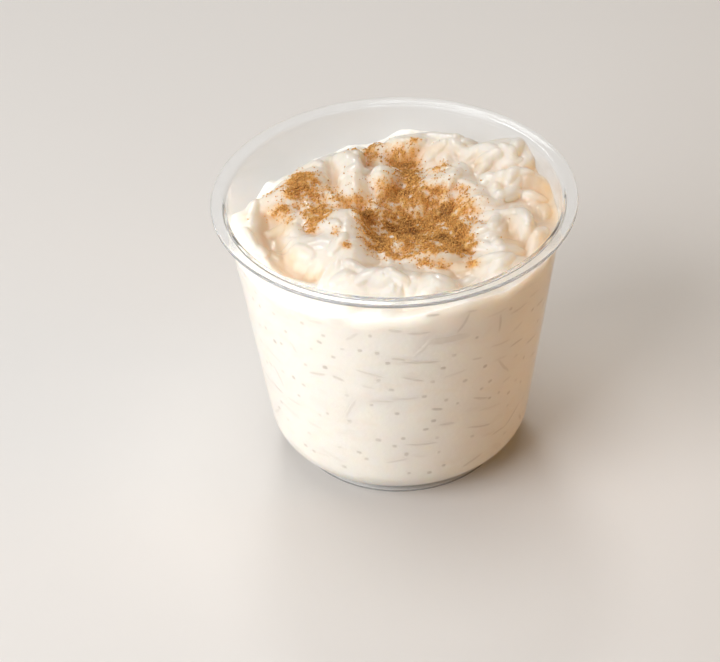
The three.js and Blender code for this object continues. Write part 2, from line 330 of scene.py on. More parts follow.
class CupSizes(bpy.types.PropertyGroup):
    """Sizes and finish of the clear plastic cup."""

    rim_height: length("Rim height", "Height of the lip's top over the table", CUP_TOP.z)
    lip_radius: length("Lip radius", "Outer radius of the flat lip", CUP_TOP.x)
    lip_thickness: length("Lip thickness", "Thickness of the lip", 0.001)
    mouth_radius: length("Mouth radius", "Outer radius of the wall at the rim", 0.0396)
    wall: length("Wall", "Thickness of the wall", 0.0007)
    underside: length("Underside", "Height of the bottom over the table", 0.0023)
    bottom_round: length("Bottom round", "Radius of the rounded bottom edge", 0.0092)
    foot_radius: length("Foot radius", "Outer radius of the foot ring", 0.025)
    foot_width: length("Foot width", "Width of the foot ring", 0.0016)
    foot_edge: length("Foot edge", "Bevel of the foot ring", 0.0004)
    lip_fillet: length("Lip fillet", "Radius of the fillet under the lip", 0.001)
    mouth_round: length("Mouth round", "Radius of the mouth's inner edge", 0.0009)
    taper: ratio("Taper", "Radius lost per unit of height", 0.144)
    tint: colour("Plastic tint", "Tint of the clear plastic", (0.97, 0.985, 0.99))


class PuddingSizes(bpy.types.PropertyGroup):
    """Sizes and colours of the heap of pudding."""

    edge_level: length("Edge level", "Level at the wall, from the rim", -0.0068)
    crown_level: length("Crown level", "Level at the middle before lumps, from the rim", -0.0046)
    heap_radius: length("Heap radius", "Radius over which the level falls", 0.038)
    knee_level: length("Knee level", "Level over which crests are eased, from the rim", -0.003)
    crest_span: length("Crest span", "Most that a crest rises over the knee", 0.0023)
    into_wall: length("Into wall", "How far the fill reaches into the wall", 0.00015)
    cream: colour("Cream", "Colour of the milk and starch", (0.90, 0.84, 0.75))
    # This tan paints shade in hollows and creases, and also tints the cream's random mottle.
    tan: colour("Tan cream", "Colour of the cream in shaded hollows", (0.84, 0.66, 0.46))


class RiceSizes(bpy.types.PropertyGroup):
    """Numbers and colours of the cooked rice."""

    showing: how_many("Grains showing", "Grains that stand out of the heap", 84)
    sunken: how_many("Grains sunken", "Grains just under the cream", 60)
    at_wall: how_many("Grains at the wall", "Most grains scattered against the wall", 560)
    grain: colour("Grain", "Colour of a cooked grain", (0.91, 0.86, 0.76))
    pressed: colour("Pressed grain", "Colour of a grain against the wall", (0.52, 0.44, 0.35))


class CinnamonLook(bpy.types.PropertyGroup):
    """Amount and colours of the ground cinnamon."""

    specks: how_many("Specks", "Loose specks of cinnamon", 10000)
    pale: colour("Pale cinnamon", "Colour of thin cinnamon", (0.90, 0.50, 0.145))
    # The dark end is thick, damp cinnamon and also painted shade in the hollow and between crumbs.
    dark: colour("Dark cinnamon", "Colour of thick, damp cinnamon", (0.30, 0.12, 0.035))


class StageLook(bpy.types.PropertyGroup):
    """Camera, floor and light of the room."""

    camera_back: length("Camera back", "Distance of the camera in front of the cup", 0.57661)
    camera_height: length("Camera height", "Height of the camera over the table", 0.46529)
    camera_pitch: degrees("Camera pitch", "Angle below the horizon", 37.072)
    camera_pan: degrees("Camera pan", "Turn to the right", -0.8988)
    camera_roll: degrees("Camera roll", "Turn about the view", -2.16)
    lens: bpy.props.FloatProperty(
        name="Lens", description="Focal length in millimetres", default=151.335, subtype="DISTANCE_CAMERA"
    )
    floor_half: length("Floor half width", "Half the width of the plain floor", 6.0)
    floor: colour("Floor", "Colour of the plain floor", (0.85, 0.825, 0.79))
    room: colour("Room light", "Colour of the even light of the room", (1.0, 0.90, 0.77))
    room_strength: ratio("Room strength", "Strength of the even light of the room", 0.09)


def millimetres(group):
    """A property group's values with its lengths in millimetres."""
    values = {}
    for name in group.__annotations__:
        value = getattr(group, name)
        if getattr(group.bl_rna.properties[name], "unit", "NONE") == "LENGTH":
            value *= 1000
        values[name] = value
    return SimpleNamespace(**values)


class Wire:
    """A socket in a shader tree. Arithmetic on wires and numbers adds Math nodes."""

    def __init__(self, tree, socket):
        self.tree = tree
        self.socket = socket

    def node(self, kind, settings=None, inputs=None, output=0):
        """Adds a node, sets its settings, then its inputs, and returns one output as a wire."""
        made = self.tree.nodes.new(kind)
        for key, value in (settings or {}).items():
            setattr(made, key, value)
        for key, value in (inputs or {}).items():
            if isinstance(value, Wire):
                self.tree.links.new(value.socket, made.inputs[key])
            else:
                made.inputs[key].default_value = value
        return Wire(self.tree, made.outputs[output])

    def math(self, operation, first, second, clamp=False):
        """A Math node on two values."""
        settings = {"operation": operation, "use_clamp": clamp}
        return self.node("ShaderNodeMath", settings, {0: first, 1: second})

    def __add__(self, other):
        return self.math("ADD", self, other)

    def __radd__(self, other):
        return self.math("ADD", other, self)

    def __sub__(self, other):
        return self.math("SUBTRACT", self, other)

    def __rsub__(self, other):
        return self.math("SUBTRACT", other, self)

    def __mul__(self, other):
        return self.math("MULTIPLY", self, other)

    def __rmul__(self, other):
        return self.math("MULTIPLY", other, self)

    def clamp(self):
        """The value held between 0 and 1."""
        return self.math("ADD", self, 0.0, clamp=True)

    def mix(self, first, second):
        """A colour from first to second, with this wire as the factor."""
        colours = {0: self, 6: as_colour(first), 7: as_colour(second)}
        return self.node("ShaderNodeMix", {"data_type": "RGBA"}, colours, output=2)

    def noise(self, size, detail=2.0, roughness=0.5):
        """Noise over these coordinates with features of about this size in millimetres."""
        inputs = {"Vector": self, "Scale": 1 / size, "Detail": detail, "Roughness": roughness}
        return self.node("ShaderNodeTexNoise", None, inputs)

    def relief(self, strength, distance):
        """A normal with this wire as relief, its depth in metres."""
        inputs = {"Strength": strength, "Distance": distance, "Height": self}
        return self.node("ShaderNodeBump", None, inputs)

    def principled(self, inputs):
        """A Principled shader."""
        return self.node("ShaderNodeBsdfPrincipled", None, inputs)


def as_colour(value):
    """A wire as it is, or a colour with alpha."""
    return value if isinstance(value, Wire) else (*value, 1.0)


def material(name):
    """A new material with an empty tree, its output node and its coordinates in millimetres as a wire."""
    made = bpy.data.materials.new(name)
    made.use_nodes = True
    tree = made.node_tree
    tree.nodes.clear()
    output = tree.nodes.new("ShaderNodeOutputMaterial")
    start = Wire(tree, None)
    place = start.node("ShaderNodeTexCoord", None, None, output=3)
    place = start.node("ShaderNodeVectorMath", {"operation": "SCALE"}, {0: place, "Scale": 1 / MM})
    return made, output, place


def finish_material(output, shader):
    """Links a shader to a material's output."""
    shader.tree.links.new(shader.socket, output.inputs["Surface"])


def attribute(wire, name):
    """A number stored on the mesh, as a wire."""
    return wire.node("ShaderNodeAttribute", {"attribute_name": name}, None, output=2)


def mesh_piece(name, points, faces, finish, attributes=None):
    """A smooth mesh object from points in millimetres, riding on the one body."""
    mesh = bpy.data.meshes.new(name)
    mesh.from_pydata((np.asarray(points) * MM).tolist(), [], faces)
    for key, values in (attributes or {}).items():
        layer = mesh.attributes.new(key, "FLOAT", "POINT")
        layer.data.foreach_set("value", np.asarray(values, np.float32))
    mesh.polygons.foreach_set("use_smooth", np.ones(len(mesh.polygons), bool))
    mesh.materials.append(finish)
    mesh.update()
    made = bpy.data.objects.new(name, mesh)
    bpy.context.scene.collection.objects.link(made)
    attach(made, "root")
    return made


def arc(r, z, radius, start, end, steps):
    """Points of an arc in the profile's plane."""
    angles = np.linspace(start, end, steps + 1)
    return [(r + radius * math.cos(a), z + radius * math.sin(a)) for a in angles]


def ring_points(r, turn, z):
    """Points at these radii, angles and heights."""
    return np.stack([r * np.cos(turn), r * np.sin(turn), z], 1)


def seeded(seed):
    """A function that draws numbers between two limits, the same on every run."""
    state = seed

    def draw(low, high):
        nonlocal state
        state = (state * 1664525 + 1013904223) & 0xFFFFFFFF
        return low + (high - low) * state / 4294967296

    return draw


class CupShape:
    """The cup's profile, in millimetres."""

    FOOT_STEPS = 4
    ROUND_STEPS = 20
    FILLET_STEPS = 7
    LIP_STEPS = 12
    WALL_ROWS = 8
    WALL_START = 14
    UNDER_FILLET = 2
    INSIDE_FOOT = 4

    def __init__(self, sizes):
        self.sizes = sizes
        self.angle = math.atan(sizes.taper)
        self.round_height = sizes.underside + sizes.bottom_round
        self.round_radius = self.outer(self.round_height) - sizes.bottom_round / math.cos(self.angle)

    def outer(self, z):
        """Outer radius of the wall at a height."""
        return self.sizes.mouth_radius - self.sizes.taper * (self.sizes.rim_height - z)

    def inner(self, z):
        """Inner radius of the wall at a height."""
        return self.outer(z) - self.sizes.wall / math.cos(self.angle)

    def bottom_arc(self, radius, start, end, steps=ROUND_STEPS):
        """Points of an arc about the centre of the rounded bottom edge."""
        return arc(self.round_radius, self.round_height, radius, start, end, steps)

    def profile(self):
        """The whole section, out along the underside and foot, up, over the lip and down inside."""
        s = self.sizes
        foot_in = s.foot_radius - s.foot_width
        rise = -math.pi / 2 + math.asin((s.foot_radius - self.round_radius) / s.bottom_round)
        lip_under = s.rim_height - s.lip_thickness
        fillet = lip_under - s.lip_fillet
        edge = s.lip_thickness / 2
        mouth = s.rim_height - s.mouth_round
        mouth_in = self.inner(mouth) + s.mouth_round
        wall_top = self.outer(fillet) + s.lip_fillet
        half = math.pi / 2
        heights = np.linspace(self.WALL_START, fillet - self.UNDER_FILLET, self.WALL_ROWS)
        points = [(r, s.underside) for r in (0, foot_in - self.INSIDE_FOOT, foot_in - s.foot_edge)]
        points += arc(foot_in + s.foot_edge, s.foot_edge, s.foot_edge, math.pi, 3 * half, self.FOOT_STEPS)
        points += arc(s.foot_radius - s.foot_edge, s.foot_edge, s.foot_edge, -half, 0, self.FOOT_STEPS)
        points += self.bottom_arc(s.bottom_round, rise, -self.angle)
        points += [(self.outer(z), z) for z in heights]
        points += arc(wall_top, fillet, s.lip_fillet, math.pi, half, self.FILLET_STEPS)
        points += arc(s.lip_radius - edge, s.rim_height - edge, edge, -half, half, self.LIP_STEPS)
        points += arc(mouth_in, mouth, s.mouth_round, half, math.pi, self.FILLET_STEPS)
        points += [(self.inner(z), z) for z in heights[::-1]]
        points += self.bottom_arc(s.bottom_round - s.wall, -self.angle, -half)
        return points + [(0, s.underside + s.wall)]


def turned(profile, turns):
    """Points and faces of a profile turned about Z, from a point on the axis to another."""
    angles = np.arange(turns) * 2 * math.pi / turns
    ring = np.array(profile[1:-1])
    points = [(0, 0, profile[0][1])]
    for r, z in ring:
        points += [(r * math.cos(a), r * math.sin(a), z) for a in angles]
    points.append((0, 0, profile[-1][1]))
    return points, banded_faces(len(ring), turns)


def banded_faces(rings, sides):
    """Faces of a closed form: a fan at each end and bands between the rings."""
    tip = 1 + rings * sides
    last = 1 + (rings - 1) * sides
    faces = []
    for i in range(sides):
        j = (i + 1) % sides
        faces.append((0, 1 + j, 1 + i))
        for k in range(rings - 1):
            low, high = 1 + k * sides, 1 + (k + 1) * sides
            faces.append((low + i, low + j, high + j, high + i))
        faces.append((last + i, last + j, tip))
    return faces


def bump(x, y, shape):
    """Height of one rounded lump at points."""
    cx, cy, wide, long, turn, rise = shape
    c, s = math.cos(math.radians(turn)), math.sin(math.radians(turn))
    u = (c * (x - cx) + s * (y - cy)) / wide
    v = (-s * (x - cx) + c * (y - cy)) / long
    d = np.clip(1 - u * u - v * v, 0, None)
    return rise * d * d


def ripple(x, y, wavelength, seed, waves=14):
    """A smooth, even unevenness of about unit height."""
    draw = seeded(seed)
    total = np.zeros_like(x)
    for _ in range(waves):
        heading, phase = draw(0, 2 * math.pi), draw(0, 2 * math.pi)
        pace = 2 * math.pi / (wavelength * draw(0.7, 1.5))
        total += np.cos(pace * (x * math.cos(heading) + y * math.sin(heading)) + phase)
    return total * math.sqrt(2 / waves)


def eased_maximum(a, b, width):
    """The larger of two heights, with the corner between them rounded over a width."""
    h = np.clip(0.5 + 0.5 * (b - a) / width, 0, 1)
    return a * (1 - h) + b * h + width * h * (1 - h)


class Heap:
    """The pudding's uneven surface and the rice that lies in it, in millimetres over the table."""

    SLOPE_REACH = 2.5
    GRAIN_REACH = 6
    RIM_BAND = 4.5
    BELOW_ALL = -50.0
    DEEPER = 0.85
    COVERED = 0.9
    SHORE_GUESS = 38.0
    SHORE_ROUNDS = 8

    def __init__(self, cup, pudding, rice):
        self.cup = cup
        self.pudding = pudding
        self.rim = cup.sizes.rim_height
        self.showing = self.lay(
            rice.showing, seed=7, field=34.6, lengths=(6.6, 9.0), thicks=(2.6, 3.2), sinks=(0.35, 0.95)
        )
        for grain in self.showing:
            cover = patches(np.array([grain.x]), np.array([grain.y]), SMOOTH_PLACES)
            grain.z -= self.DEEPER + self.COVERED * min(float(cover[0]), 1.0)
        self.sunken = self.lay(
            rice.sunken, seed=31, field=35.4, lengths=(5.6, 8.4), thicks=(2.4, 3.0), sinks=(1.3, 1.9)
        )
        self.clear = [self.clear_grain(*row) for row in CLEAR_GRAINS]

    def level(self, x, y):
        """Height of the spooned surface, before any rice."""
        p = self.pudding
        fall = np.clip(1 - (x * x + y * y) / p.heap_radius**2, 0, None)
        z = p.edge_level + (p.crown_level - p.edge_level) * fall
        for lump in LUMPS:
            z = z + bump(x, y, lump)
        for hollow in HOLLOWS:
            z = z - bump(x, y, hollow)
        over = np.clip(z - p.knee_level, 0, None)
        return self.rim + z - over + p.crest_span * (1 - np.exp(-over / p.crest_span))

    def level_at(self, x, y):
        """Height of the spooned surface at one point."""
        return float(self.level(np.array([x]), np.array([y]))[0])

    def bed(self, x, y, yaw):
        """Height and slope of the surface under a grain that lies along a heading."""
        reach = self.SLOPE_REACH
        c, s = math.cos(yaw), math.sin(yaw)
        ahead = self.level_at(x + reach * c, y + reach * s)
        behind = self.level_at(x - reach * c, y - reach * s)
        height = (ahead + behind) / 4 + self.level_at(x, y) / 2
        return height, math.atan2(ahead - behind, 2 * reach)

    def lay(self, count, seed, field, lengths, thicks, sinks):
        """Grains laid evenly along a golden spiral, each lying on the surface and partly sunk in it."""
        draw = seeded(seed)
        grains = []
        for i in range(count):
            reach = field * math.sqrt((i + 0.5) / count)
            x = reach * math.cos(i * GOLDEN_ANGLE) + draw(-1, 1)
            y = reach * math.sin(i * GOLDEN_ANGLE) + draw(-1, 1)
            yaw = draw(0, math.pi)
            long, thick, sink, tip = draw(*lengths), draw(*thicks), draw(*sinks), draw(-0.2, 0.2)
            if reach > field - self.RIM_BAND:
                yaw = math.atan2(y, x) + math.pi / 2
            height, slope = self.bed(x, y, yaw)
            place = {"x": x, "y": y, "z": height - sink, "yaw": yaw, "pitch": slope + tip}
            grains.append(SimpleNamespace(long=long, thick=thick, **place))
        return grains

    def clear_grain(self, x, y, heading, long, thick, rise):
        """A grain whose back stands over the surface by a given rise."""
        yaw = math.radians(heading)
        height, slope = self.bed(x, y, yaw)
        place = {"x": x, "y": y, "z": height + rise - thick / 2, "yaw": yaw, "pitch": slope}
        return SimpleNamespace(long=long, thick=thick, **place)

    def near(self, grain, x, y):
        """Which points lie so near a grain that it may be under them."""
        return (abs(x - grain.x) < self.GRAIN_REACH) & (abs(y - grain.y) < self.GRAIN_REACH)

    def grain_top(self, grain, x, y, swell):
        """Height of a grain's upper side, far below the table beside it."""
        c, s = math.cos(grain.yaw), math.sin(grain.yaw)
        u = c * (x - grain.x) + s * (y - grain.y)
        v = -s * (x - grain.x) + c * (y - grain.y)
        cp, sp = math.cos(grain.pitch), math.sin(grain.pitch)
        a2 = (grain.long / 2 + swell) ** 2
        b2 = (grain.thick / 2 + swell) ** 2
        qa = sp * sp / a2 + cp * cp / b2
        qb = 2 * u * cp * sp * (1 / a2 - 1 / b2)
        qc = u * u * (cp * cp / a2 + sp * sp / b2) + v * v / b2 - 1
        root = qb * qb - 4 * qa * qc
        rise = (-qb + np.sqrt(np.clip(root, 0, None))) / (2 * qa)
        return np.where(root > 0, grain.z + rise, self.BELOW_ALL)

    def surface(self, x, y):
        """Height of the creamy surface, with rice rounded into it."""
        z = self.level(x, y)
        for height, wavelength, seed in CREAM_RIPPLES:
            z = z + height * ripple(x, y, wavelength, seed)
        for knob in SMALL_RELIEF:
            z = z + bump(x, y, knob)
        layers = (
            (self.sunken, 0.3, 2.4),
            (self.showing, 0.15, 2.1),
            (self.clear, 0.2, 1.7),
        )
        for grains, swell, width in layers:
            for grain in grains:
                near = self.near(grain, x, y)
                if near.any():
                    top = self.grain_top(grain, x[near], y[near], swell)
                    z[near] = eased_maximum(z[near], top, width)
        return z

    def fill(self, z):
        """Radius of the fill's side at a height, just inside the wall's material."""
        return self.cup.inner(z) + self.pudding.into_wall

    def shoreline(self, angles):
        """Radius at which the surface meets the wall in each direction."""
        c, s = np.cos(angles), np.sin(angles)
        r = np.full_like(angles, self.SHORE_GUESS)
        for _ in range(self.SHORE_ROUNDS):
            r = self.fill(self.surface(r * c, r * s))
        return r


def patches(x, y, table):
    """The sum of soft patches at points, each a core with a faint skirt."""
    amount = np.zeros_like(x)
    for cx, cy, wide, deep, strength in table:
        far = ((x - cx) / wide) ** 2 + ((y - cy) / deep) ** 2
        core = 0.9 * np.exp(-1.3 * far)
        skirt = 0.1 * np.exp(-far / 3)
        amount += strength * (core + skirt)
    return amount


def dusting(x, y):
    """How thickly the cinnamon lies at points, from 0 to a little over 1."""
    broken = 0.95
    for share, wavelength, seed in DUSTING_RIPPLES:
        broken = broken + share * ripple(x, y, wavelength, seed)
    return np.clip(patches(x, y, DUSTINGS) * np.clip(broken, 0.1, None), 0, 1.3)


def shapes():
    """The cup and its heap, from the scene's sizes in millimetres."""
    scene = bpy.context.scene
    cup = CupShape(millimetres(scene.dessert_cup))
    heap = Heap(cup, millimetres(scene.dessert_pudding), millimetres(scene.dessert_rice))
    return cup, heap


def plastic_finish(cup):
    """Clear moulded plastic that lets lamps through."""
    made, output, place = material("clear_plastic")
    clear = place.principled(
        {
            "Base Color": (*cup.tint, 1.0),
            "Roughness": 0.035 + 0.05 * place.noise(5.0, 3.0),
            "IOR": 1.32,
            "Transmission Weight": 0.9,
            "Normal": place.noise(14.0, 1.0).relief(0.04, 0.002),
        }
    )
    lamp = place.node("ShaderNodeLightPath", None, None, output=1)
    through = place.node("ShaderNodeBsdfTransparent", None, {"Color": (0.97, 0.97, 0.97, 1.0)})
    finish_material(output, place.node("ShaderNodeMixShader", None, {0: lamp, 1: clear, 2: through}))
    return made


def dusted(place, base, cinnamon):
    """A colour with cinnamon over it where the mesh says so, and the share of cinnamon."""
    thick = attribute(place, "dusting")
    crumbs = place.noise(0.4, 2.0, 0.6)
    share = ((thick * 1.2 - crumbs) * 1.7 + 0.32).clamp() * (thick * 4.0).clamp()
    # The cinnamon darkens where it lies thick: partly damp cinnamon, partly painted shade in the hollow
    # and between crumbs.
    tone = (place.noise(0.45, 3.0, 0.7) * 1.8 + thick * 1.05 - 1.5).clamp()
    brown = tone.mix(cinnamon.pale, cinnamon.dark)
    hazed = (thick * 0.8).clamp().mix(base, cinnamon.pale)
    return share.mix(hazed, brown), share


def cream_finish(pudding, cinnamon):
    """Thick milk and starch, wet and soft, with ground cinnamon lying on it."""
    made, output, place = material("rice_pudding")
    flat = place.node("ShaderNodeVectorMath", {"operation": "MULTIPLY"}, {0: place, 1: (1.0, 1.0, 2.6)})
    streaks = (flat.noise(6.0, 2.0) - 0.5) * attribute(place, "side") * 0.7
    # Tan from painted shade in creases and shaded places, with random mottle and streaks down the side.
    mottle_and_painted_shade = (attribute(place, "tan") + (place.noise(7.0, 3.0) - 0.5) * 0.5 + streaks).clamp()
    shade, share = dusted(place, mottle_and_painted_shade.mix(pudding.cream, pudding.tan), cinnamon)
    pores = place.noise(1.2, 3.0, 0.6) + share * place.noise(0.35, 2.0, 0.7) * 3.0
    cream = place.principled(
        {
            "Base Color": shade,
            "Roughness": 0.32 + 0.16 * place.noise(3.0, 2.0) + share * 0.4,
            "IOR": 1.42,
            "Subsurface Weight": 0.7,
            "Subsurface Radius": (1.0, 0.8, 0.55),
            "Subsurface Scale": 0.0055,
            "Coat Weight": (1 - share) * 0.42,
            "Coat Roughness": 0.13,
            "Normal": pores.relief(0.18, 0.0004),
        }
    )
    finish_material(output, cream)
    return made


def rice_finish(rice, cinnamon):
    """Cooked rice: pale, plump and wet."""
    made, output, place = material("cooked_rice")
    base = place.noise(2.4, 2.0).mix(rice.grain, [0.9 * value for value in rice.grain])
    shade, share = dusted(place, base, cinnamon)
    grain = place.principled(
        {
            "Base Color": shade,
            "Roughness": 0.24 + 0.14 * place.noise(1.6, 2.0) + share * 0.45,
            "IOR": 1.42,
            "Subsurface Weight": 0.2,
            "Subsurface Radius": (1.0, 0.7, 0.5),
            "Subsurface Scale": 0.0012,
            "Coat Weight": (1 - share) * 0.45,
            "Coat Roughness": 0.11,
            "Normal": place.noise(0.7, 3.0).relief(0.15, 0.0003),
        }
    )
    finish_material(output, grain)
    return made


def pressed_finish(pudding, rice):
    """Rice against the wall, fading into the cream round each grain's rim."""
    made, output, place = material("pressed_rice")
    heart = attribute(place, "heart")
    share = (heart * 1.6).clamp() * attribute(place, "depth") * (0.75 + 0.6 * place.noise(1.2, 2.0))
    grain = place.principled(
        {
            "Base Color": share.clamp().mix(pudding.cream, rice.pressed),
            "Roughness": 0.42 - 0.1 * heart,
            "IOR": 1.42,
        }
    )
    finish_material(output, grain)
    return made


def speck_finish(cinnamon):
    """Ground cinnamon bark, dry and uneven in tone."""
    made, output, place = material("ground_cinnamon")
    tone = (attribute(place, "tone") * 0.8 + 0.3 * place.noise(0.2, 2.0)).clamp()
    bark = place.principled(
        {
            "Base Color": tone.mix(cinnamon.pale, cinnamon.dark),
            "Roughness": 0.8 + 0.15 * place.noise(0.15, 1.0),
            "Specular IOR Level": 0.25,
        }
    )
    finish_material(output, bark)
    return made


def blunt(value):
    """A cosine with a flatter end, for grains that are not pointed."""
    return np.sign(value) * abs(value) ** 0.7


class DESSERT_OT_cup(bpy.types.Operator):
    """Turn the clear plastic cup"""

    bl_idname = "dessert.cup"
    bl_label = "Clear cup"
    turns = 192

    def execute(self, context):
        cup, _ = shapes()
        points, faces = turned(cup.profile(), self.turns)
        made = mesh_piece("clear_cup", points, faces, plastic_finish(cup.sizes))
        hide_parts("cup")
        return {"FINISHED"}


class DESSERT_OT_pudding(bpy.types.Operator):
    """Fill the cup with the heap of pudding"""

    bl_idname = "dessert.pudding"
    bl_label = "Pudding"
    steps = 250
    shore_steps = 1080
    side_rows = 14
    round_rows = 9
    # Shade painted as a tan tint in creases, where the surface lies below its blurred surroundings.
    crease_reach = 10
    crease_start = 0.1
    crease_depth = 0.9
    crease_shade = 0.5

    def execute(self, context):
        cup, heap = shapes()
        x, y = self.grid(heap)
        z = heap.surface(x, y)
        n = self.steps + 1
        index = np.arange(n**2).reshape(n, n)
        quads = np.stack([index[:-1, :-1], index[:-1, 1:], index[1:, 1:], index[1:, :-1]], -1)
        faces = quads.reshape(-1, 4).tolist()
        rim = np.concatenate([index[0, :-1], index[:-1, -1], index[-1, :0:-1], index[:0:-1, 0]])
        rows = self.side(cup, heap, np.arctan2(y[rim], x[rim]), z[rim])
        above = rim
        for k in range(len(rows)):
            below = n**2 + k * len(rim) + np.arange(len(rim))
            faces += np.stack([above, below, np.roll(below, -1), np.roll(above, -1)], 1).tolist()
            above = below
        centre = (0, 0, rows[-1][0, 2])
        points = np.concatenate([np.stack([x, y, z], 1), *rows, [centre]])
        faces += [(int(b), int(a), len(points) - 1) for a, b in zip(above, np.roll(above, -1))]
        # Shade painted as a tan tint, in the listed shaded places and in creases; none down the side.
        tan = patches(x, y, PAINTED_SHADE_PLACES) + self.painted_crease_shade(z.reshape(n, n)).ravel()
        bare = np.zeros(len(points) - len(x))
        values = {
            "dusting": np.concatenate([dusting(x, y), bare]),
            "tan": np.concatenate([tan, bare]),
            "side": np.concatenate([np.zeros(len(x)), bare + 1]),
        }
        scene = context.scene
        finish = cream_finish(scene.dessert_pudding, scene.dessert_cinnamon)
        made = mesh_piece("pudding_heap", points, faces, finish, values)
        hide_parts("pudding")
        return {"FINISHED"}

    def grid(self, heap):
        """Points of an even grid over the surface, out to the shoreline."""
        line = np.linspace(-1, 1, self.steps + 1)
        s, t = np.meshgrid(line, line)
        x = s * np.sqrt(1 - t * t / 2)
        y = t * np.sqrt(1 - s * s / 2)
        angles = np.linspace(-math.pi, math.pi, self.shore_steps + 1)
        reach = np.interp(np.arctan2(y, x), angles, heap.shoreline(angles))
        return (x * reach).ravel(), (y * reach).ravel()

    def side(self, cup, heap, turn, shore):
        """Rows of points from the shoreline down the wall and round the bottom edge."""
        into = heap.pudding.into_wall
        radius = cup.sizes.bottom_round - cup.sizes.wall
        base = cup.bottom_arc(radius, -cup.angle, -math.pi / 2, self.round_rows)
        rows = []
        for i in range(1, self.side_rows + 1):
            height = shore + (base[0][1] - shore) * i / self.side_rows
            rows.append(ring_points(heap.fill(height), turn, height))
        for r, height in base[1:]:
            rows.append(ring_points(r + into, turn, np.full_like(turn, height - into)))
        return rows

    def painted_crease_shade(self, z):
        """How much shade is painted on each point of the surface, as a tan tint, from lying in a crease.
        """
        reach = self.crease_reach
        width = 2 * reach + 1
        soft = z
        for axis in (0, 1, 0, 1):
            first, last = soft.take([0] * reach, axis), soft.take([-1] * reach, axis)
            padded = np.concatenate([first, soft, last], axis)
            total = np.cumsum(np.insert(padded, 0, 0, axis), axis)
            count = z.shape[axis]
            soft = (total.take(range(width, width + count), axis) - total.take(range(count), axis)) / width
        return self.crease_shade * np.clip((soft - z) / self.crease_depth - self.crease_start, 0, 1)


class DESSERT_OT_rice(bpy.types.Operator):
    """Lay the grains of rice that stand out of the heap"""

    bl_idname = "dessert.rice"
    bl_label = "Rice on top"
    seed = 53
    rings = 11
    sides = 10
    bends = (-0.5, 0.5)
    leans = (-0.4, 0.4)
    lean_share = 0.4
    flatness = 0.94

    def execute(self, context):
        _, heap = shapes()
        draw = seeded(self.seed)
        along = np.linspace(-1, 1, self.rings + 2)[1:-1]
        around = np.arange(self.sides) * 2 * math.pi / self.sides
        u = np.concatenate([[-1], np.repeat(along, self.sides), [1]])
        ring = np.concatenate([[0], np.tile(around, self.rings), [0]])
        girth = np.clip(1 - abs(u) ** 2.5, 0, None) ** 0.55
        template = banded_faces(self.rings, self.sides)
        points, faces = [], []
        for grain in heap.clear + heap.showing:
            bend, lean = draw(*self.bends), draw(*self.leans)
            lx = u * grain.long / 2
            ly = girth * np.cos(ring) * grain.thick / 2 + bend * (1 - u * u)
            lz = girth * np.sin(ring) * grain.thick / 2 * self.flatness
            lz = lz + lean * self.lean_share * (1 - u * u)
            cp, sp = math.cos(grain.pitch), math.sin(grain.pitch)
            c, s = math.cos(grain.yaw), math.sin(grain.yaw)
            fx, fz = lx * cp - lz * sp, lx * sp + lz * cp
            place = np.stack([grain.x + c * fx - s * ly, grain.y + s * fx + c * ly, grain.z + fz], 1)
            faces += [tuple(len(points) * len(u) + i for i in face) for face in template]
            points.append(place)
        points = np.concatenate(points)
        powder = dusting(points[:, 0].copy(), points[:, 1].copy())
        scene = context.scene
        finish = rice_finish(scene.dessert_rice, scene.dessert_cinnamon)
        mesh_piece("rice_grains", points, faces, finish, {"dusting": powder})
        return {"FINISHED"}


